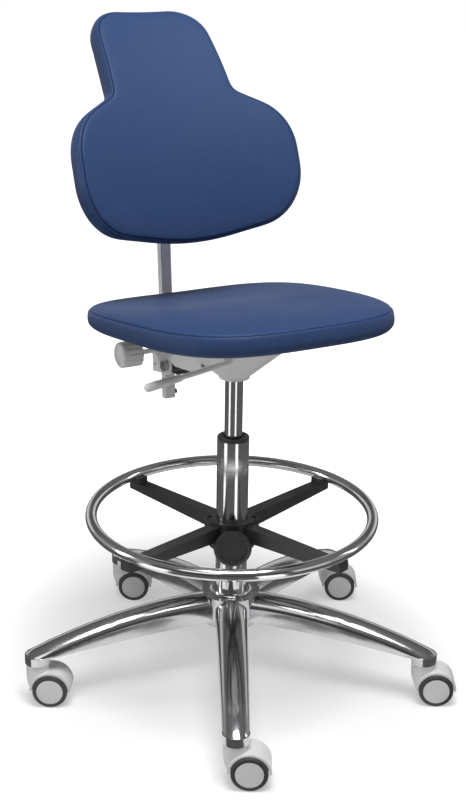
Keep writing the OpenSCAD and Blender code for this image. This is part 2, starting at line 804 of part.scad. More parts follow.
post_y = 225;
post_bottom = -87;
post_top = 284;
post_corner = 3;
stop_z = post_bottom + 9;
stop_d = 5;
stop_head = 8;
stop_head_h = 4;
stop_in = 3;
sleeve_wall = 6;
carrier_bottom = -36;
carrier_top = 40;
carrier_width = bracket_width - 2 * sheet - 2 * slide_gap;
mount_wall = 3;
mount_plate = 4;
mount_width = 84;
mount_bottom = 206;
mount_height = 84;
back_rear = 152;
back_screw_x = 31;
back_screw_z = 28;
back_screw_d = 6;
back_screw_head = 4;
back_boss_d = 14;
back_bottom = 158;
mount_gap = 3;
mount_front = back_rear + back_bow(mount_bottom + mount_height) + mount_gap;
mount_mid = mount_bottom + mount_height / 2;
screw_rows = [mount_mid - back_screw_z, mount_mid + back_screw_z];
screw_tip_gap = 0.5;
shell_scale = 0.945;
knob_clear = 29;
knob_blind = 8;
knob_shoulder = 6;
knob_rim = 9;
rim_round = 4;
screw_head = 6;
screw_washer = 3;
flute_count = 14;
flute_d = 6;

module rounded_bar(w, d, r, h) {
  linear_extrude(h) union() {
    square([w - 2 * r, d], center = true);
    square([w, d - 2 * r], center = true);
    for (x = [-1, 1], y = [-1, 1]) translate([x * (w / 2 - r), y * (d / 2 - r)]) circle(r = r);
  }
}

module pivot_bolt() {
  reach = bracket_width / 2;
  color("silver") in_post_frame() union() {
    cross_bar(pivot_y, pivot_z, pivot_d, bracket_width + 2 * 9);
    for (side = [-1, 1]) translate([side * (reach + 3.5), pivot_y, pivot_z]) rotate([0, 90, 0])
      cylinder(d = pivot_d * 1.8, h = 7, center = true, $fn = 6);
  }
}

module back_carrier() {
  block = post_width + 2 * slide_gap + 2 * sleeve_wall;
  depth = post_depth + 2 * slide_gap + 2 * sleeve_wall;
  color("black") in_post_frame() difference() {
    union() {
      cross_bar(pivot_y, pivot_z, pivot_d + 12, carrier_width);
      cross_bar(knob_y, knob_z, knob_screw_d + 13, carrier_width);
      translate([-block / 2, pivot_y, carrier_bottom + 4]) cube([block, post_y - pivot_y, 50]);
      translate([-block / 2, post_y - depth / 2, carrier_bottom])
        cube([block, depth, carrier_top - carrier_bottom]);
    }
    cross_bar(pivot_y, pivot_z, pivot_d + 2 * running_fit, bracket_width);
    cross_bar(knob_y, knob_z, knob_screw_d + 2 * seat_fit, bracket_width);
    translate([0, post_y, carrier_bottom - 1]) rounded_bar(
      post_width + 2 * slide_gap, post_depth + 2 * slide_gap, post_corner + slide_gap,
      carrier_top - carrier_bottom + 2
    );
  }
}

module back_knob_screw() {
  out = bracket_width / 2;
  color("silver") in_post_frame() translate([0, knob_y, knob_z]) rotate([0, 90, 0]) union() {
    translate([0, 0, -out - knob_clear - back_knob_length + knob_blind])
      cylinder(d = knob_screw_d, h = 2 * out + knob_clear + back_knob_length - knob_blind + screw_head);
    translate([0, 0, out + slide_gap]) cylinder(d = knob_screw_d * 1.9, h = screw_head, $fn = 6);
    translate([0, 0, -out - slide_gap - screw_washer]) cylinder(d = knob_screw_d * 2, h = screw_washer);
  }
}

// Knob with a fluted grip behind a smooth rounded rim
module back_knob() {
  r = back_knob_d / 2;
  core = r - flute_d * 0.35;
  len = back_knob_length;
  bore = knob_screw_d / 2 + running_fit;
  deep = len - knob_blind + soft_gap;
  color("lightgray") in_post_frame() translate([-bracket_width / 2 - knob_clear, knob_y, knob_z])
    rotate([0, -90, 0]) difference() {
      union() {
        translate([0, 0, knob_shoulder]) linear_extrude(len - knob_rim - knob_shoulder + 1) difference() {
          circle(r = r);
          for (i = [0:flute_count - 1]) rotate(360 / flute_count * i) translate([r + flute_d * 0.22, 0])
            circle(d = flute_d);
        }
        rotate_extrude() polygon(concat(
          [[0, 0], [r * 0.45, 0], [r * 0.5, knob_shoulder / 3], [core, knob_shoulder]],
          [[core, len - knob_rim], [r, len - knob_rim]],
          arc([r - rim_round, len - rim_round], rim_round, 0, 90, 4),
          [[r * 0.68, len], [r * 0.62, len - 2], [0, len - 2]]
        ));
      }
      translate([0, 0, -1]) cylinder(r = bore, h = deep + 1);
    }
}

module back_post() {
  color("lightsteelblue") in_post_frame() translate([0, post_y, post_bottom]) difference() {
    rounded_bar(post_width, post_depth, post_corner, post_top - post_bottom);
    translate([0, 0, -1]) rounded_bar(
      post_width - 2 * post_wall, post_depth - 2 * post_wall, post_corner - post_wall,
      post_top - post_bottom + 2
    );
    translate([0, 0, stop_z - post_bottom]) rotate([0, 90, 0])
      cylinder(d = stop_d + 2 * seat_fit, h = post_width);
  }
}

module post_stop_screw() {
  color("dimgray") in_post_frame() translate([post_width / 2, post_y, stop_z]) rotate([0, 90, 0]) {
    cylinder(d = stop_head, h = stop_head_h);
    translate([0, 0, -post_wall - stop_in]) cylinder(d = stop_d, h = post_wall + stop_in + 1);
  }
}

// Backward bow of the shell's rear face at height z of the post's frame
function back_bow(z) = bend_radius * (1 - cos(asin((z - back_bottom) / bend_radius)));
// Length of a boss from the mount's face to the middle of the shell
function boss_length(z) =
  mount_front - back_rear - back_bow(z) + pow(back_screw_x, 2) / (2 * back_radius) + shell_thickness / 2;

// Both screw places at height z, looking forward along the screw
module at_back_screws(z) {
  for (side = [-1, 1]) translate([side * back_screw_x, mount_front, z]) rotate([90, 0, 0]) children();
}

module back_mount() {
  w = post_width + 2 * seat_fit;
  d = post_depth + 2 * seat_fit;
  color("dimgray") in_post_frame() difference() {
    union() {
      translate([0, post_y, mount_bottom])
        rounded_bar(w + 2 * mount_wall, d + 2 * mount_wall, post_corner + mount_wall, mount_height);
      translate([-mount_width / 2, mount_front, mount_bottom])
        cube([mount_width, mount_plate, mount_height]);
      for (side = [0, 1]) mirror([side, 0, 0]) translate([w / 2, mount_front, mount_bottom])
        cube([mount_wall, post_y - mount_front, mount_height]);
      translate([-w / 2 - 1, mount_front, mount_bottom + mount_height - mount_wall])
        cube([w + 2, post_y - mount_front, mount_wall]);
    }
    translate([0, post_y, mount_bottom - 1])
      rounded_bar(w, d, post_corner + seat_fit, post_top + slide_gap - mount_bottom + 1);
    for (z = screw_rows) at_back_screws(z) translate([0, 0, -mount_plate - 1])
      cylinder(d = back_screw_d + 2 * seat_fit, h = mount_plate + 2);
  }
}

// The backrest's outline as corners with their radii, from the lower middle round the right side to the top
lobe_half = back_width / 2;
tongue_half = tongue_width / 2;
tongue_top_half = tongue_top_width / 2;
lobe_low = 54;
low_edge = 20;
lobe_low_round = 150;
shoulder_round = 82;
neck_round = 21;
tongue_round = 55;
low_edge_round = 400;
back_right = [
  [lobe_half + 2, lobe_low, lobe_low_round], [lobe_half, shoulder_height, shoulder_round],
  [tongue_half, neck_height, neck_round], [tongue_top_half, back_length, tongue_round]
];
back_corners = concat(
  [[0, low_edge, low_edge_round]], back_right,
  [for (i = [len(back_right) - 1:-1:0]) [-back_right[i][0], back_right[i][1], back_right[i][2]]]
);
corner_steps = 6;
back_middle = [0, 160];
// Share of the outline and depth of each ring of the back cushion, from the crown to the shell side
back_rings = [
  [0.12, 1], [0.4, 0.99], [0.66, 0.97], [0.84, 0.94], [0.93, 0.88], [0.972, 0.78], [0.985, 0.7],
  [0.98, 0.66], [0.992, 0.58], [1, 0.4], [0.995, 0.18], [0.975, 0.05], [0.95, 0]
];

// Share of the outline of the rings over the face where the cushion lies on the shell
face_rings = [0.93, 0.8, 0.6, 0.35, 0.12];

// An outline with each corner rounded to its own radius
function rounded(corners) = [for (i = [0:len(corners) - 1])
  let (
    n = len(corners), c = corners[i], p = corners[(i + n - 1) % n], q = corners[(i + 1) % n],
    u = [p[0] - c[0], p[1] - c[1]], v = [q[0] - c[0], q[1] - c[1]],
    du = u / norm(u), dv = v / norm(v),
    half = acos(max(-1, min(1, du * dv))) / 2,
    run = min(c[2] / tan(half), 0.48 * min(norm(u), norm(v))),
    r = run * tan(half),
    mid = (du + dv) / norm(du + dv),
    centre = [c[0], c[1]] + mid * (r / sin(half)),
    start = [c[0], c[1]] + du * run - centre,
    turn = (180 - 2 * half) * sign(cross(dv, du))
  )
  for (k = [0:corner_steps]) let (a = turn * k / corner_steps)
    centre + [start[0] * cos(a) - start[1] * sin(a), start[0] * sin(a) + start[1] * cos(a)]];

// A point of the curved back: u across, v up along the curve, d forward of the shell's rear face
function back_point(u, v, d) =
  let (turn = v / bend_radius * 180 / PI, ahead = d + u * u / (2 * back_radius))
  [
    u,
    back_rear + bend_radius * (1 - cos(turn)) - ahead * cos(turn),
    back_bottom + bend_radius * sin(turn) + ahead * sin(turn)
  ];
function back_ring(scale, d) = [for (p = rounded(back_corners))
  back_point(p[0] * scale, back_middle[1] + (p[1] - back_middle[1]) * scale, d)];

module back_shell() {
  color("dimgray") in_post_frame() difference() {
    union() {
      skin(concat(
        [for (i = [len(face_rings) - 1:-1:0]) back_ring(face_rings[i], shell_thickness)],
        [back_ring(shell_scale, shell_thickness - 1), back_ring(shell_scale, 1)],
        [for (scale = face_rings) back_ring(scale, 0)]
      ), cross_cut = true);
      for (z = screw_rows) at_back_screws(z) cylinder(d = back_boss_d, h = boss_length(z));
    }
    for (z = screw_rows) at_back_screws(z) translate([0, 0, -1])
      cylinder(d = back_screw_d + 2 * seat_fit, h = 1 + boss_length(z));
  }
}

module back_cushion() {
  base = shell_thickness + soft_gap;
  color("royalblue") in_post_frame() skin(concat(
    [for (ring = back_rings) back_ring(ring[0], base + ring[1] * back_thickness)],
    [for (scale = face_rings) back_ring(scale, base)]
  ));
}

module back_screws() {
  color("silver") in_post_frame() for (z = screw_rows) at_back_screws(z) {
    translate([0, 0, -mount_plate - back_screw_head]) cylinder(d = back_screw_d * 1.8, h = back_screw_head);
    translate([0, 0, -mount_plate - 1])
      cylinder(d = back_screw_d, h = mount_plate + 1 + boss_length(z) - screw_tip_gap);
  }
}

base_star();
caster_stems();
outer_column();
column_bush();
thrust_bearing();
rod_clip();
piston_rod();
gas_cylinder();
release_pin();
seat_mechanism();
seat_board();
seat_cushion();
seat_bolts();
lever_rod();
lever_grip();
pivot_bolt();
back_carrier();
back_knob();
back_knob_screw();
back_post();
post_stop_screw();
back_mount();
back_shell();
back_cushion();
back_screws();
foot_ring();
ring_spider();
ring_screws();
clamp_knob();
clamp_screw();
at_caster(0) caster_hood();  // caster_1_hood
at_caster(0) caster_axle();  // caster_1_axle
at_caster(0) caster_wheel(1);  // caster_1_wheel_left
at_caster(0) caster_wheel(-1);  // caster_1_wheel_right
at_caster(0) caster_cap(1);  // caster_1_cap_left
at_caster(0) caster_cap(-1);  // caster_1_cap_right
at_caster(1) caster_hood();  // caster_2_hood
at_caster(1) caster_axle();  // caster_2_axle
at_caster(1) caster_wheel(1);  // caster_2_wheel_left
at_caster(1) caster_wheel(-1);  // caster_2_wheel_right
at_caster(1) caster_cap(1);  // caster_2_cap_left
at_caster(1) caster_cap(-1);  // caster_2_cap_right
at_caster(2) caster_hood();  // caster_3_hood
at_caster(2) caster_axle();  // caster_3_axle
at_caster(2) caster_wheel(1);  // caster_3_wheel_left
at_caster(2) caster_wheel(-1);  // caster_3_wheel_right
at_caster(2) caster_cap(1);  // caster_3_cap_left
at_caster(2) caster_cap(-1);  // caster_3_cap_right
at_caster(3) caster_hood();  // caster_4_hood
at_caster(3) caster_axle();  // caster_4_axle
at_caster(3) caster_wheel(1);  // caster_4_wheel_left
at_caster(3) caster_wheel(-1);  // caster_4_wheel_right
at_caster(3) caster_cap(1);  // caster_4_cap_left
at_caster(3) caster_cap(-1);  // caster_4_cap_right
at_caster(4) caster_hood();  // caster_5_hood
at_caster(4) caster_axle();  // caster_5_axle
at_caster(4) caster_wheel(1);  // caster_5_wheel_left
at_caster(4) caster_wheel(-1);  // caster_5_wheel_right
at_caster(4) caster_cap(1);  // caster_5_cap_left
at_caster(4) caster_cap(-1);  // caster_5_cap_right
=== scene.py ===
"""Looks of the dentist stool: camera, light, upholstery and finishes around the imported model."""
import json
import math

import bpy
import numpy as np
from mathutils import Matrix, Vector

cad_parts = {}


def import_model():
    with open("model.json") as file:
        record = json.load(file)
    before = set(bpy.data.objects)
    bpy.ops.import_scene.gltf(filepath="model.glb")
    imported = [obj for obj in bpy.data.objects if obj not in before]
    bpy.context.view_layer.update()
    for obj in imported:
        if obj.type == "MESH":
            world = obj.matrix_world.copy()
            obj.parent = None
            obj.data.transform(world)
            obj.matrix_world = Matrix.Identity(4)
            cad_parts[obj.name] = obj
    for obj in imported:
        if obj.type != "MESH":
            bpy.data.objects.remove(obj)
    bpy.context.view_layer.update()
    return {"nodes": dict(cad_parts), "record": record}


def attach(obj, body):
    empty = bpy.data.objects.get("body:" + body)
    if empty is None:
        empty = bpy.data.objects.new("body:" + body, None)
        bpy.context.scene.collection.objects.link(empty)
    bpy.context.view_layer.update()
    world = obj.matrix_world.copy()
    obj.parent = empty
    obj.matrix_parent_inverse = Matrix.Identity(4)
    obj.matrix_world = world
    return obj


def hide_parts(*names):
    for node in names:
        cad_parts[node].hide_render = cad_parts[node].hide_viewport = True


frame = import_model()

nodes = frame["nodes"]
scene = bpy.context.scene
MM = 0.001
WHITE, BLACK = (1.0, 1.0, 1.0, 1.0), (0.0, 0.0, 0.0, 1.0)


# Shader building blocks

def new_group(name, inputs, outputs):
    """An empty shader node group with number inputs and the named outputs."""
    group = bpy.data.node_groups.new(name, "ShaderNodeTree")
    for label, value in inputs:
        socket = group.interface.new_socket(label, in_out="INPUT", socket_type="NodeSocketFloat")
        socket.default_value = value
    for label in outputs:
        group.interface.new_socket(label, in_out="OUTPUT", socket_type="NodeSocketFloat")
    return group, group.nodes.new("NodeGroupInput"), group.nodes.new("NodeGroupOutput")


def feed(tree, socket, value):
    """Sets an input to a number, or links it to another node's output."""
    if isinstance(value, (int, float)):
        socket.default_value = value
    else:
        tree.links.new(value, socket)


def noise(tree, where, scale, detail):
    """A noise texture on the given coordinates; the scale may be a number or a socket."""
    texture = tree.nodes.new("ShaderNodeTexNoise")
    texture.inputs["Detail"].default_value = detail
    tree.links.new(where, texture.inputs["Vector"])
    feed(tree, texture.inputs["Scale"], scale)
    return texture.outputs["Fac"]


def own_coordinates(tree):
    """The piece's own coordinates, in metres."""
    return tree.nodes.new("ShaderNodeTexCoord").outputs["Object"]


def spread(tree, value, low, high, from_low=0.3, from_high=0.7):
    """Maps a value to the range from low to high, which may be numbers or sockets."""
    node = tree.nodes.new("ShaderNodeMapRange")
    tree.links.new(value, node.inputs["Value"])
    node.inputs["From Min"].default_value = from_low
    node.inputs["From Max"].default_value = from_high
    feed(tree, node.inputs["To Min"], low)
    feed(tree, node.inputs["To Max"], high)
    return node.outputs["Result"]


def arithmetic(tree, operation, *terms):
    """A Math node on sockets and numbers."""
    node = tree.nodes.new("ShaderNodeMath")
    node.operation = operation
    for socket, term in zip(node.inputs, terms):
        feed(tree, socket, term)
    return node.outputs[0]


def make_grain_group():
    """Fine pebbled grain: a height for bump and a mask of the valleys."""
    group, given, put = new_group(
        "pebble_grain", [("Cells per metre", 900.0), ("Roughening", 0.4)], ["Height", "Valleys"])
    where = own_coordinates(group)
    cells = group.nodes.new("ShaderNodeTexVoronoi")
    cells.feature = "SMOOTH_F1"
    group.links.new(where, cells.inputs["Vector"])
    group.links.new(given.outputs["Cells per metre"], cells.inputs["Scale"])
    distance = cells.outputs["Distance"]
    fine = noise(group, where, given.outputs["Cells per metre"], detail=3.0)
    height = arithmetic(group, "MULTIPLY_ADD", fine, given.outputs["Roughening"], distance)
    group.links.new(height, put.inputs["Height"])
    group.links.new(spread(group, distance, 0.0, 1.0, 0.35, 0.75), put.inputs["Valleys"])
    return group


def make_marks_group():
    """Soft marks of handling and cleaning: a roughness that wanders between two values."""
    group, given, put = new_group(
        "handling_marks", [("Marks per metre", 18.0), ("Smooth", 0.2), ("Dull", 0.3)], ["Roughness"])
    clouds = noise(group, own_coordinates(group), given.outputs["Marks per metre"], detail=4.0)
    rough = spread(group, clouds, given.outputs["Smooth"], given.outputs["Dull"])
    group.links.new(rough, put.inputs["Roughness"])
    return group


def make_polish_group():
    """Fine lines left by polishing, drawn out along the upright axis of the piece."""
    group, given, put = new_group(
        "polishing_lines", [("Across", 1500.0), ("Along", 40.0)], ["Height", "Streaks"])
    stretch = group.nodes.new("ShaderNodeCombineXYZ")
    for axis, label in (("X", "Across"), ("Y", "Across"), ("Z", "Along")):
        group.links.new(given.outputs[label], stretch.inputs[axis])
    scaled = group.nodes.new("ShaderNodeVectorMath")
    scaled.operation = "MULTIPLY"
    group.links.new(own_coordinates(group), scaled.inputs[0])
    group.links.new(stretch.outputs["Vector"], scaled.inputs[1])
    lines = noise(group, scaled.outputs["Vector"], scale=1.0, detail=2.0)
    group.links.new(lines, put.inputs["Height"])
    group.links.new(spread(group, lines, 0.0, 1.0), put.inputs["Streaks"])
    return group


grain_group = make_grain_group()
marks_group = make_marks_group()
polish_group = make_polish_group()


def place(tree, group, **values):
    """Places a node group in a material, with its own values."""
    node = tree.nodes.new("ShaderNodeGroup")
    node.node_tree = group
    for label, value in values.items():
        node.inputs[label.replace("_", " ")].default_value = value
    return node


def new_material(name, **plain):
    """A material with a Principled shader, whose plain values are set on its own sockets."""
    material = bpy.data.materials.new(name)
    material.use_nodes = True
    tree = material.node_tree
    shader = tree.nodes["Principled BSDF"]
    for label, value in plain.items():
        shader.inputs[label.replace("_", " ")].default_value = value
    return material, tree, shader


def two_tone(tree, shader, mask, first, second):
    """Base colour that goes from the first to the second colour, and past it where the mask passes 1."""
    mix = tree.nodes.new("ShaderNodeMix")
    mix.data_type = "RGBA"
    mix.clamp_factor = False
    mix.inputs["A"].default_value = (*first, 1.0)
    mix.inputs["B"].default_value = (*second, 1.0)
    tree.links.new(mask, mix.inputs["Factor"])
    tree.links.new(mix.outputs["Result"], shader.inputs["Base Color"])


def handled(tree, shader, per_metre, smooth, dull):
    """Roughness that wanders with the marks of handling."""
    marks = place(tree, marks_group, Marks_per_metre=per_metre, Smooth=smooth, Dull=dull)
    tree.links.new(marks.outputs["Roughness"], shader.inputs["Roughness"])


def bump(tree, shader, height, strength, depth):
    """Surface relief from a height, with the relief's depth in metres."""
    node = tree.nodes.new("ShaderNodeBump")
    node.inputs["Strength"].default_value = strength
    node.inputs["Distance"].default_value = depth
    tree.links.new(height, node.inputs["Height"])
    tree.links.new(node.outputs["Normal"], shader.inputs["Normal"])


# Finishes

def metal(name, light, dark, smooth, dull, across, along, relief,
          metallic=1.0, marks=22.0, strength=0.3):
    """A metal with handling marks and fine lines; less metallic, it is a dull plating."""
    material, tree, shader = new_material(name, Metallic=metallic)
    handled(tree, shader, per_metre=marks, smooth=smooth, dull=dull)
    lines = place(tree, polish_group, Across=across, Along=along)
    two_tone(tree, shader, lines.outputs["Streaks"], light, dark)
    bump(tree, shader, lines.outputs["Height"], strength=strength, depth=relief)
    return material


def plastic(name, light, dark, smooth, dull, cells, relief):
    """A moulded plastic with a fine eroded grain."""
    material, tree, shader = new_material(name)
    handled(tree, shader, per_metre=30.0, smooth=smooth, dull=dull)
    grain = place(tree, grain_group, Cells_per_metre=cells, Roughening=0.7)
    two_tone(tree, shader, grain.outputs["Valleys"], light, dark)
    bump(tree, shader, grain.outputs["Height"], strength=0.35, depth=relief)
    return material


def leatherette():
    """Blue coated fabric with a fine upright grain, a soft grey sheen and painted shade along the seams.
    """
    material, tree, shader = new_material(
        "blue_leatherette", Sheen_Weight=0.03, Sheen_Roughness=0.45,
        Sheen_Tint=(0.75, 0.8, 0.9, 1.0), Specular_IOR_Level=0.22)
    handled(tree, shader, per_metre=9.0, smooth=0.48, dull=0.6)
    grain = place(tree, grain_group, Cells_per_metre=850.0, Roughening=0.5)
    ribs = place(tree, polish_group, Across=520.0, Along=90.0)
    # The seam attribute paints shade into the base colour along the seam's groove
    seam = tree.nodes.new("ShaderNodeAttribute")
    seam.attribute_name = "seam"
    pebbles = arithmetic(tree, "MULTIPLY", grain.outputs["Valleys"], 0.4)
    surface = arithmetic(tree, "MULTIPLY_ADD", ribs.outputs["Streaks"], 0.6, pebbles)
    tone = arithmetic(tree, "MULTIPLY_ADD", seam.outputs["Fac"], 2.0, surface)
    two_tone(tree, shader, tone, (0.029, 0.063, 0.165), (0.02, 0.046, 0.131))
    height = arithmetic(tree, "ADD", grain.outputs["Height"], ribs.outputs["Height"])
    bump(tree, shader, height, strength=0.3, depth=0.0004)
    return material


def plywood():
    """Black stained ply with an even, fine mottle."""
    material, tree, shader = new_material("stained_plywood")
    handled(tree, shader, per_metre=12.0, smooth=0.5, dull=0.65)
    lines = place(tree, polish_group, Across=260.0, Along=260.0)
    two_tone(tree, shader, lines.outputs["Streaks"], (0.034, 0.031, 0.028), (0.02, 0.019, 0.018))
    bump(tree, shader, lines.outputs["Height"], strength=0.25, depth=0.0003)
    return material


def finishes():
    """The material for each slot of the record, and satin steel for some pieces."""
    return {
        "polished_aluminium": metal(
            "polished_aluminium", (0.62, 0.62, 0.63), (0.53, 0.53, 0.54),
            smooth=0.12, dull=0.2, across=500.0, along=500.0, relief=0.00002),
        "chrome": metal(
            "bright_chrome", (0.74, 0.74, 0.75), (0.64, 0.64, 0.65),
            smooth=0.1, dull=0.16, across=1400.0, along=20.0, relief=0.00001),
        "steel": metal(
            "bright_zinc", (0.6, 0.6, 0.6), (0.42, 0.42, 0.42),
            smooth=0.22, dull=0.34, across=1200.0, along=90.0, relief=0.00003),
        "satin_steel": metal(
            "satin_steel", (0.88, 0.88, 0.88), (0.8, 0.8, 0.8),
            smooth=0.36, dull=0.46, across=1600.0, along=60.0, relief=0.00002,
            metallic=0.25, marks=40.0, strength=0.25),
        "dark_screws": metal(
            "black_oxide", (0.06, 0.06, 0.06), (0.03, 0.03, 0.03),
            smooth=0.35, dull=0.5, across=1200.0, along=90.0, relief=0.00003),
        "black_plastic": plastic(
            "black_plastic", (0.05, 0.05, 0.051), (0.036, 0.036, 0.037),
            smooth=0.34, dull=0.46, cells=1500.0, relief=0.0002),
        "white_paint": plastic(
            "white_powder_coat", (0.84, 0.84, 0.83), (0.78, 0.78, 0.77),
            smooth=0.3, dull=0.42, cells=600.0, relief=0.0001),
        "plywood": plywood(),
        "blue_leatherette": leatherette(),
        "grey_plastic": plastic(
            "light_grey_plastic", (0.78, 0.78, 0.77), (0.72, 0.72, 0.71),
            smooth=0.36, dull=0.48, cells=1300.0, relief=0.00015),
        "dark_tread": plastic(
            "dark_grey_tread", (0.055, 0.055, 0.057), (0.035, 0.035, 0.036),
            smooth=0.5, dull=0.62, cells=1100.0, relief=0.0002),
    }


# Lofted pieces, with the angle in degrees below which their facets are smoothed
LOFTED = {"base_star": 40, "seat_mechanism": 28, "back_shell": 30}
# Facets closer than this, in metres, are joined
JOIN_DISTANCE = 0.00002
# Pieces whose finish is duller than that of their slot
OWN_FINISH = dict.fromkeys(("lever_rod", "back_knob_screw", "back_post"), "satin_steel")


def make_smoothing_group():
    """Joins the facets of a lofted piece and smooths the edges that are flatter than the angle."""
    group = bpy.data.node_groups.new("smooth_facets", "GeometryNodeTree")
    group.interface.new_socket("Geometry", in_out="INPUT", socket_type="NodeSocketGeometry")
    group.interface.new_socket("Angle", in_out="INPUT", socket_type="NodeSocketFloat")
    group.interface.new_socket("Geometry", in_out="OUTPUT", socket_type="NodeSocketGeometry")
    given, put = group.nodes.new("NodeGroupInput"), group.nodes.new("NodeGroupOutput")
    join = group.nodes.new("GeometryNodeMergeByDistance")
    join.inputs["Distance"].default_value = JOIN_DISTANCE
    bend = group.nodes.new("GeometryNodeInputMeshEdgeAngle")
    sharp = group.nodes.new("FunctionNodeCompare")
    sharp.operation = "GREATER_THAN"
    normals = group.nodes.new("GeometryNodeSetMeshNormal")
    normals.inputs["Remove Custom"].default_value = True
    group.links.new(given.outputs["Geometry"], join.inputs["Geometry"])
    group.links.new(join.outputs["Geometry"], normals.inputs["Mesh"])
    group.links.new(bend.outputs["Unsigned Angle"], sharp.inputs["A"])
    group.links.new(given.outputs["Angle"], sharp.inputs["B"])
    group.links.new(sharp.outputs["Result"], normals.inputs["Edge Sharpness"])
    group.links.new(normals.outputs["Mesh"], put.inputs["Geometry"])
    return group


smoothing_group = make_smoothing_group()


def smooth_facets(piece, degrees):
    """Smooth shading over the facets of a lofted piece."""
    modifier = piece.modifiers.new("Smooth facets", "NODES")
    modifier.node_group = smoothing_group
    socket = smoothing_group.interface.items_tree["Angle"]
    modifier[socket.identifier] = math.radians(degrees)


def dress(finish):
    """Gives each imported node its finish."""
    for row in frame["record"]["subparts"]:
        piece = nodes[row["node"]]
        piece.data.materials.clear()
        piece.data.materials.append(finish[OWN_FINISH.get(row["node"], row["material_slot"])])
        if row["node"] in LOFTED:
            smooth_facets(piece, LOFTED[row["node"]])


# Upholstery: sizes in millimetres, as in the part's source

# Outline of the seat: a superellipse, shifted forward and wider at the rear
SEAT_WIDTH, SEAT_DEPTH, SEAT_POWER, SEAT_SHIFT, SEAT_TAPER = 390.0, 430.0, 3.4, -20.0, 0.06
SEAT_TILT, SEAT_HEIGHT, BOARD_THICK, BOARD_CLEARANCE = math.radians(6), 584.0, 10.0, 0.4
# Thickness at the rear, and how much more the pad has at the front
SEAT_THICK, SEAT_FRONT_THICK = 33.5, 5.5
# Share of the outline and share of the thickness of the seat's rings, from the middle to the board
SEAT_PROFILE = [
    (0.03, 1.108), (0.15, 1.108), (0.28, 1.111), (0.4, 1.116), (0.52, 1.124), (0.62, 1.13),
    (0.71, 1.126), (0.8, 1.104), (0.86, 1.077), (0.9, 1.045), (0.93, 1.004), (0.955, 0.95),
    (0.972, 0.896), (0.984, 0.84), (0.992, 0.74), (0.998, 0.6), (1.0, 0.45), (0.999, 0.32),
    (0.993, 0.216), (0.981, 0.13), (0.964, 0.05), (0.936, 0.0), (0.906, 0.0)]
# Ring of the seam, and first ring that lies on the board
SEAT_SEAM, SEAT_SUPPORT = 13, 21
# Hollow for the sitter: its depth, its reach across and along, and how far back its middle is
SEAT_HOLLOW, HOLLOW_ACROSS, HOLLOW_ALONG, HOLLOW_BACK = 14.0, 150.0, 105.0, 110.0
SEAT_FRONT_DROP = 5.0
# Share of the thickness where the hollow and the drop set in, and over which they come in full
CROWN_FROM, CROWN_SPAN = 0.784, 0.27
OUTLINE_POINTS, SEAT_POINTS, BACK_POINTS = 720, 160, 200

POST_LEAN, POST_BASE = math.radians(4), 505.0
# Rear and lower end of the back in the post's frame, and its radii across and upright
BACK_REAR, BACK_BOTTOM, BACK_RADIUS, BEND_RADIUS = 152.0, 158.0, 700.0, 470.0
# Room for the shell, thickness of the pad, and height that its rings shrink towards
SHELL, BACK_THICK, BACK_MIDDLE = 6.3, 40.0, 160.0
# Half outline of the back: across, up and rounding of each corner, from the lower middle to the top
BACK_CORNERS = [(193.0, 54.0, 150.0), (191.0, 198.0, 82.0), (106.0, 246.0, 21.0), (94.5, 396.0, 55.0)]
BACK_LOW, BACK_LOW_ROUND = 20.0, 400.0
# Points on a rounded corner, and the most of a side that a corner takes
CORNER_POINTS, CORNER_SHARE = 12, 0.48
# Share of the outline and share of the thickness of the back's rings, from the middle to the shell
BACK_PROFILE = [
    (0.03, 1.0), (0.12, 1.0), (0.26, 0.998), (0.4, 0.996), (0.54, 0.993), (0.66, 0.989),
    (0.76, 0.984), (0.84, 0.979), (0.894, 0.97), (0.933, 0.953), (0.958, 0.92), (0.973, 0.86),
    (0.984, 0.775), (0.992, 0.67), (0.997, 0.56), (0.999, 0.47), (1.0, 0.38), (0.999, 0.26),
    (0.993, 0.15), (0.98, 0.065), (0.955, 0.01), (0.9, 0.0), (0.75, 0.0), (0.6, 0.0), (0.45, 0.0),
    (0.3, 0.0), (0.15, 0.0), (0.04, 0.0)]
# Ring of the seam, and first ring that lies on the shell
BACK_SEAM, BACK_SUPPORT = 10, 21

# Sewing, in metres: depth and width of the seam's groove, and width of the painted shade along it
SEAM_DEPTH, SEAM_WIDTH, SEAM_SHADE_WIDTH = 0.002, 0.0014, 0.0011
# Strength of the painted shade along the seam, on the seat and on the back
SEAT_SEAM_SHADE, BACK_SEAM_SHADE = 0.45, 1.0
# Places of the rings beside the seam, as shares of the way to the next ring
SEAM_STEPS = [-0.5, -0.3, -0.2, -0.12, -0.06, 0.0, 0.06, 0.12, 0.2, 0.3, 0.5]
# Reach in which only those stand, and rings made for each given ring elsewhere
SEAM_REACH, RING_STEPS = 0.6, 2
# Swelling by cloth simulation: pressure, the most that a point moves, in metres, and frames
SWELL_PRESSURE, SWELL_CAP, SWELL_FRAMES = 4.0, 0.004, 20
CLOTH_STIFFNESS, CLOTH_BENDING = 25, 4
# Evening out: passes around each ring, last ring that swells by its mean, and rings from there
# until each point keeps its own swelling
EVEN_PASSES, EVEN_RING, EVEN_SPAN = 60, 2, 6


def power(value, exponent):
    """A signed power, for the seat's superellipse."""
    return np.sign(value) * np.abs(value) ** (2 / exponent)


def limited(value):
    """A number held between 0 and 1."""
    return min(1.0, max(0.0, value))


def leaning(x, y, z, height, angle):
    """From a frame that leans by the angle, at the height, to the stool's, in metres."""
    c, s = math.cos(angle), math.sin(angle)
    return np.stack([x, y * c + z * s, height - y * s + z * c], -1) * MM


def seat_point(x, y, z):
    """From the seat's tilted frame to the stool's, in metres."""
    return leaning(x, y, z, SEAT_HEIGHT, SEAT_TILT)


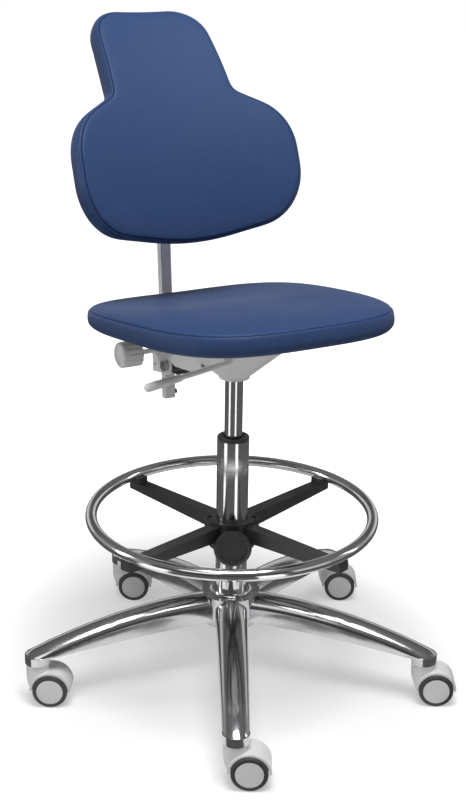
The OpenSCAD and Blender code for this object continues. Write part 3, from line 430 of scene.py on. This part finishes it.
def seat_rings():
    """Rings of the seat pad: an array of rings by points by 3."""
    turn = np.linspace(0, 2 * math.pi, OUTLINE_POINTS, endpoint=False)
    y = power(np.sin(turn), SEAT_POWER)
    x = SEAT_WIDTH / 2 * power(np.cos(turn), SEAT_POWER) * (1 + SEAT_TAPER * y)
    outline = even_points(np.stack([x, SEAT_DEPTH / 2 * y], -1), SEAT_POINTS)
    rings = []
    for share, thick in SEAT_PROFILE:
        u, v = outline[:, 0] * share, outline[:, 1] * share + SEAT_SHIFT
        height = SEAT_THICK + SEAT_FRONT_THICK * np.clip(0.5 - v / SEAT_DEPTH, 0, 1)
        hollow = SEAT_HOLLOW * np.exp(-(u / HOLLOW_ACROSS) ** 2 - ((v - HOLLOW_BACK) / HOLLOW_ALONG) ** 2)
        drop = SEAT_FRONT_DROP * np.maximum(0, -v / (SEAT_DEPTH / 2)) ** 3
        top = limited((thick - CROWN_FROM) / CROWN_SPAN)
        rings.append(seat_point(u, v, thick * height - top * (hollow + drop)))
    # The last ring goes up inside the edge of the pad to the top of the board
    rings.append(seat_point(u, v, np.full_like(u, BOARD_THICK + BOARD_CLEARANCE)))
    return np.array(rings)


def even_points(outline, count):
    """Spaces the points of a closed outline evenly along it."""
    closed = np.vstack([outline, outline[:1]])
    run = np.concatenate([[0], np.cumsum(np.linalg.norm(np.diff(closed, axis=0), axis=1))])
    at = np.linspace(0, run[-1], count, endpoint=False)
    return np.stack([np.interp(at, run, closed[:, k]) for k in (0, 1)], -1)


def rounded_outline(corners):
    """A closed outline with each corner rounded to its own radius."""
    points, n = [], len(corners)
    for i, (cx, cy, radius) in enumerate(corners):
        c = np.array([cx, cy])
        u = np.array(corners[i - 1][:2]) - c
        v = np.array(corners[(i + 1) % n][:2]) - c
        du, dv = u / np.linalg.norm(u), v / np.linalg.norm(v)
        half = math.acos(max(-1, min(1, float(du @ dv)))) / 2
        run = min(radius / math.tan(half), CORNER_SHARE * min(np.linalg.norm(u), np.linalg.norm(v)))
        mid = (du + dv) / np.linalg.norm(du + dv)
        centre = c + mid * run / math.cos(half)
        arm = c + du * run - centre
        turn = (math.pi - 2 * half) * np.sign(dv[0] * du[1] - dv[1] * du[0])
        for a in np.linspace(0, turn, CORNER_POINTS):
            points.append(centre + [arm[0] * math.cos(a) - arm[1] * math.sin(a),
                                    arm[0] * math.sin(a) + arm[1] * math.cos(a)])
    return np.array(points)


def back_point(u, v, depth):
    """A point of the curved back: u across, v up along the curve, depth forward of the shell's rear."""
    turn, ahead = v / BEND_RADIUS, depth + u * u / (2 * BACK_RADIUS)
    y = BACK_REAR + BEND_RADIUS * (1 - np.cos(turn)) - ahead * np.cos(turn)
    z = BACK_BOTTOM + BEND_RADIUS * np.sin(turn) + ahead * np.sin(turn)
    return leaning(u, y, z, POST_BASE, POST_LEAN)


def back_rings():
    """Rings of the back pad: an array of rings by points by 3."""
    left = [(-x, y, r) for x, y, r in reversed(BACK_CORNERS)]
    corners = [(0.0, BACK_LOW, BACK_LOW_ROUND), *BACK_CORNERS, *left]
    outline = even_points(rounded_outline(corners), BACK_POINTS)
    rings = []
    for share, thick in BACK_PROFILE:
        u, v = outline[:, 0] * share, BACK_MIDDLE + (outline[:, 1] - BACK_MIDDLE) * share
        rings.append(back_point(u, v, np.full_like(u, SHELL + thick * BACK_THICK)))
    return np.array(rings)


def add_piece(name, points, faces):
    """A new mesh object from points and faces."""
    mesh = bpy.data.meshes.new(name)
    mesh.from_pydata(points, [], faces)
    mesh.validate()
    piece = bpy.data.objects.new(name, mesh)
    scene.collection.objects.link(piece)
    return piece


def ring_piece(name, rings):
    """A closed form over rings of points, with a fan in the first ring and a face in the last."""
    count, n = rings.shape[:2]
    middle = rings[0].mean(axis=0)
    points = np.vstack([rings.reshape(-1, 3), middle])
    faces = [(j * n + i, j * n + (i + 1) % n, (j + 1) * n + (i + 1) % n, (j + 1) * n + i)
             for j in range(count - 1) for i in range(n)]
    faces += [(count * n, (i + 1) % n, i) for i in range(n)]
    faces.append(tuple((count - 1) * n + i for i in range(n)))
    return add_piece(name, points.tolist(), faces)


def outward_normals(rings, row):
    """Normals of the ring surface that point away from the middle at the given ring."""
    along = np.roll(rings, -1, axis=1) - np.roll(rings, 1, axis=1)
    normal = np.cross(along, np.gradient(rings, axis=0))
    normal /= np.maximum(np.linalg.norm(normal, axis=-1, keepdims=True), 1e-12)
    outward = rings[row] - rings[row].mean(axis=0)
    return -normal if np.sum(normal[row] * outward) < 0 else normal


def even_swelling(swell):
    """Evens the swelling out around each ring, and most of all near the middle."""
    even = []
    for row, ring in enumerate(swell):
        for _ in range(EVEN_PASSES):
            ring = (np.roll(ring, 1) + 2 * ring + np.roll(ring, -1)) / 4
        local = limited((row - EVEN_RING) / EVEN_SPAN)
        even.append(local * ring + (1 - local) * ring.mean())
    return np.array(even)


def inflate(rings, pinned):
    """Swells the panels between the pinned rings by cloth simulation, with a cap on the movement."""
    form = ring_piece("swelling_pad", rings)
    sewn = form.vertex_groups.new(name="sewn")
    n = rings.shape[1]
    for row in pinned:
        sewn.add([row * n + i for i in range(n)], 1.0, "REPLACE")
    cloth = form.modifiers.new("Cloth", "CLOTH")
    fabric = cloth.settings
    fabric.vertex_group_mass = sewn.name
    fabric.use_pressure = True
    fabric.uniform_pressure_force = SWELL_PRESSURE
    fabric.effector_weights.gravity = 0.0
    fabric.tension_stiffness = fabric.compression_stiffness = CLOTH_STIFFNESS
    fabric.bending_stiffness = CLOTH_BENDING
    cloth.point_cache.frame_start, cloth.point_cache.frame_end = 1, SWELL_FRAMES
    for step in range(1, SWELL_FRAMES + 1):
        scene.frame_set(step)
    swollen = form.evaluated_get(bpy.context.evaluated_depsgraph_get()).to_mesh()
    moved = np.array([v.co for v in swollen.vertices])[: rings.shape[0] * n].reshape(rings.shape)
    scene.frame_set(1)
    mesh = form.data
    bpy.data.objects.remove(form)
    bpy.data.meshes.remove(mesh)
    normal = outward_normals(rings, pinned[0])
    swell = np.clip(np.sum((moved - rings) * normal, axis=-1), 0.0, SWELL_CAP)
    return rings + normal * even_swelling(swell)[..., None]


def between_rings(rings, at):
    """Rings at fractional places, on a smooth curve through the given ones."""
    last = len(rings) - 1
    made = []
    for t in at:
        k = min(int(t), last - 1)
        f = t - k
        a, b = rings[k], rings[k + 1]
        before, after = rings[max(k - 1, 0)], rings[min(k + 2, last)]
        ma, mb = (b - before) / 2, (after - a) / 2
        made.append((2 * f**3 - 3 * f**2 + 1) * a + (f**3 - 2 * f**2 + f) * ma
                    + (3 * f**2 - 2 * f**3) * b + (f**3 - f**2) * mb)
    return np.array(made)


def seam_places(count, seam):
    """Fractional ring places, close together on both sides of the seam."""
    even = [k + f for k in range(count - 1) for f in np.linspace(0, 1, RING_STEPS, endpoint=False)]
    away = [at for at in even if abs(at - seam) > SEAM_REACH]
    return sorted(away + [seam + step for step in SEAM_STEPS] + [count - 1])


def press_seam(rings, row):
    """Draws the fabric in along the seam."""
    normal = outward_normals(rings, row)
    gap = np.linalg.norm(rings - rings[row], axis=-1, keepdims=True)
    return rings - normal * SEAM_DEPTH * np.exp(-(gap / SEAM_WIDTH) ** 2)


def paint_seam_shade(piece, rings, row, tone):
    """Keeps how near each point is to the seam, for a line of painted shade along it."""
    gap = np.linalg.norm(rings - rings[row], axis=-1)
    near = np.append(tone * np.exp(-(gap / SEAM_SHADE_WIDTH) ** 2).ravel(), 0.0)
    marks = piece.data.attributes.new("seam", "FLOAT", "POINT")
    marks.data.foreach_set("value", near.astype(np.float32))


def pad(name, node, body, rings, seam, support, seam_shade, material):
    """A sewn pad: swollen between its seams, with the seam drawn in, that stands for its node."""
    rings = inflate(rings, [seam, *range(support, len(rings))])
    places = seam_places(len(rings), seam)
    row = places.index(seam)
    fine = press_seam(between_rings(rings, places), row)
    piece = ring_piece(name, fine)
    paint_seam_shade(piece, fine, row, seam_shade)
    piece.data.shade_smooth()
    piece.data.materials.append(material)
    smoother = piece.modifiers.new("Subdivision", "SUBSURF")
    smoother.levels = smoother.render_levels = 1
    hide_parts(node)
    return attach(piece, body)


def upholstery(material):
    """The seat pad and the back pad."""
    pad("seat_pad", "seat_cushion", "lift", seat_rings(), SEAT_SEAM, SEAT_SUPPORT,
        SEAT_SEAM_SHADE, material)
    pad("back_pad", "back_cushion", "back", back_rings(), BACK_SEAM, BACK_SUPPORT,
        BACK_SEAM_SHADE, material)


# Stage: lengths in metres

CAMERA_PLACE = (-0.9717, -1.6831, 1.1416)
CAMERA_RIGHT = (0.869, -0.4946, 0.0157)
CAMERA_UP = (0.1498, 0.2932, 0.9443)
CAMERA_AHEAD = (0.4716, 0.8182, -0.3288)
CAMERA_LENS, CAMERA_SENSOR = 60.515, 36.0
CAMERA_NEAR, CAMERA_FAR = 0.05, 100.0
# Height on the column that the lamps face
AIM_HEIGHT = 0.5
FLOOR_SIZE = 12.0
# Distance from the column up to which the floor keeps its shade, and from which it is white
SHADE_RADIUS, WHITE_RADIUS = 0.34, 0.7
CARD_RADIUS, CARD_FLOOR, BACKDROP_TOP, WALL_TOP, CEILING_TOP = 5.0, 0.004, 2.0, 3.2, 3.6
FLOOR_CARD_INSIDE, CEILING_INSIDE = 0.35, 0.05
# Degrees between the points of a card, and the least rise that its glow changes over
CARD_STEP, CARD_RISE = 5, 0.01
# The cards show in reflections alone
CARD_HIDDEN = ("visible_camera", "visible_diffuse", "visible_shadow", "visible_transmission",
               "visible_volume_scatter")


def camera():
    """The camera at the photograph's viewing angle."""
    data = bpy.data.cameras.new("camera")
    data.lens, data.sensor_width = CAMERA_LENS, CAMERA_SENSOR
    data.clip_start, data.clip_end = CAMERA_NEAR, CAMERA_FAR
    eye = bpy.data.objects.new("camera", data)
    turn = Matrix([CAMERA_RIGHT, CAMERA_UP, [-x for x in CAMERA_AHEAD]]).transposed()
    eye.rotation_mode = "QUATERNION"
    eye.rotation_quaternion = turn.to_quaternion()
    eye.location = CAMERA_PLACE
    scene.collection.objects.link(eye)
    scene.camera = eye


def around(bearing, radius, height):
    """A point about the column; the bearing is counted from the camera, leftwards, in degrees."""
    angle = math.atan2(CAMERA_PLACE[1], CAMERA_PLACE[0]) - math.radians(bearing)
    return (radius * math.cos(angle), radius * math.sin(angle), height)


def softbox(name, bearing, distance, height, size, watts):
    """A soft rectangular lamp that faces the stool."""
    data = bpy.data.lights.new(name, "AREA")
    data.shape = "RECTANGLE"
    data.size, data.size_y = size
    data.energy = watts
    lamp = bpy.data.objects.new(name, data)
    lamp.location = around(bearing, distance, height)
    aim = Vector((0, 0, AIM_HEIGHT)) - lamp.location
    lamp.rotation_mode = "QUATERNION"
    lamp.rotation_quaternion = aim.to_track_quat("-Z", "Y")
    scene.collection.objects.link(lamp)


def ray_kind(tree):
    """1 for rays that see the background: from the camera, off metal and through glass."""
    ray = tree.nodes.new("ShaderNodeLightPath").outputs
    bounced = arithmetic(tree, "MAXIMUM", ray["Is Glossy Ray"], ray["Is Transmission Ray"])
    return arithmetic(tree, "MAXIMUM", ray["Is Camera Ray"], bounced)


def world(fill):
    """White background, and a plain fill light."""
    room = bpy.data.worlds.new("studio")
    room.use_nodes = True
    tree = room.node_tree
    background = tree.nodes["Background"]
    background.inputs["Color"].default_value = WHITE
    strength = spread(tree, ray_kind(tree), fill, 1.0, 0.0, 1.0)
    tree.links.new(strength, background.inputs["Strength"])
    scene.world = room


def floor(glow_inside, shade):
    """A pale floor that keeps the shadow near the stool and turns white away from it."""
    corners = [(x * FLOOR_SIZE, y * FLOOR_SIZE, 0) for x, y in ((-1, -1), (1, -1), (1, 1), (-1, 1))]
    ground = add_piece("floor", corners, [(0, 1, 2, 3)])
    material, tree, shader = new_material(
        "pale_floor", Base_Color=(shade, shade, shade, 1.0), Roughness=0.9, Specular_IOR_Level=0.0,
        Emission_Color=WHITE)
    distance = tree.nodes.new("ShaderNodeVectorMath")
    distance.operation = "LENGTH"
    tree.links.new(own_coordinates(tree), distance.inputs[0])
    glow = spread(tree, distance.outputs["Value"], glow_inside, 1.0, SHADE_RADIUS, WHITE_RADIUS)
    strength = arithmetic(tree, "MULTIPLY", glow, ray_kind(tree))
    tree.links.new(strength, shader.inputs["Emission Strength"])
    ground.data.materials.append(material)


def studio_card(name, profile, sectors, low, high):
    """A card turned about the column over sectors of bearings, with its glow at the low and high edge."""
    points, faces = [], []
    for start, end in sectors:
        n, first = max(3, round((end - start) / CARD_STEP) + 1), len(points)
        points += [around(b, r, z) for r, z in profile for b in np.linspace(start, end, n)]
        lower = [first + j * n + i for j in range(len(profile) - 1) for i in range(n - 1)]
        faces += [(k, k + 1, k + n + 1, k + n) for k in lower]
    card = add_piece(name, points, faces)
    for kind in CARD_HIDDEN:
        setattr(card, kind, False)
    material, tree, shader = new_material(
        name, Base_Color=BLACK, Roughness=1.0, Specular_IOR_Level=0.0, Emission_Color=WHITE)
    upward = tree.nodes.new("ShaderNodeSeparateXYZ")
    tree.links.new(own_coordinates(tree), upward.inputs[0])
    bottom, top = min(z for r, z in profile), max(z for r, z in profile)
    glow = spread(tree, upward.outputs["Z"], low, high, bottom, max(top, bottom + CARD_RISE))
    tree.links.new(glow, shader.inputs["Emission Strength"])
    card.data.materials.append(material)


def reflections():
    """Dark cards with two gaps for the bright streaks on the column, a pale backdrop and dim walls."""
    foot, shelf, head = ((CARD_RADIUS, z) for z in (CARD_FLOOR, BACKDROP_TOP, WALL_TOP))
    inside, peak = (FLOOR_CARD_INSIDE, CARD_FLOOR), (CEILING_INSIDE, CEILING_TOP)
    studio_card("floor_card", [inside, foot], [(-18, 42), (64, 324)], low=0.12, high=0.12)
    studio_card("front_wall", [foot, head], [(-45, 60)], low=0.03, high=0.12)
    studio_card("right_panel", [foot, head], [(-75, -45)], low=1.0, high=0.2)
    studio_card("side_walls", [foot, head], [(60, 125), (235, 285)], low=0.45, high=0.25)
    studio_card("backdrop", [foot, shelf], [(125, 235)], low=0.75, high=0.6)
    studio_card("upper_wall", [shelf, head], [(125, 235)], low=0.1, high=0.1)
    studio_card("ceiling_card", [head, peak], [(0, 360)], low=0.14, high=0.22)


def stage():
    """Camera, lamps, floor and background."""
    scene.view_settings.view_transform = "Standard"
    camera()
    world(fill=0.18)
    floor(glow_inside=0.4, shade=0.62)
    reflections()
    softbox("top_softbox", bearing=-10, distance=0.8, height=3.0, size=(1.4, 1.4), watts=74.0)
    softbox("front_softbox", bearing=25, distance=2.4, height=2.2, size=(1.4, 1.0), watts=5.5)
    softbox("left_strip", bearing=85, distance=2.6, height=0.9, size=(0.4, 1.4), watts=13.0)
    softbox("right_strip", bearing=-100, distance=2.9, height=1.2, size=(0.3, 1.8), watts=5.0)


finish = finishes()
dress(finish)
upholstery(finish["blue_leatherette"])
stage()
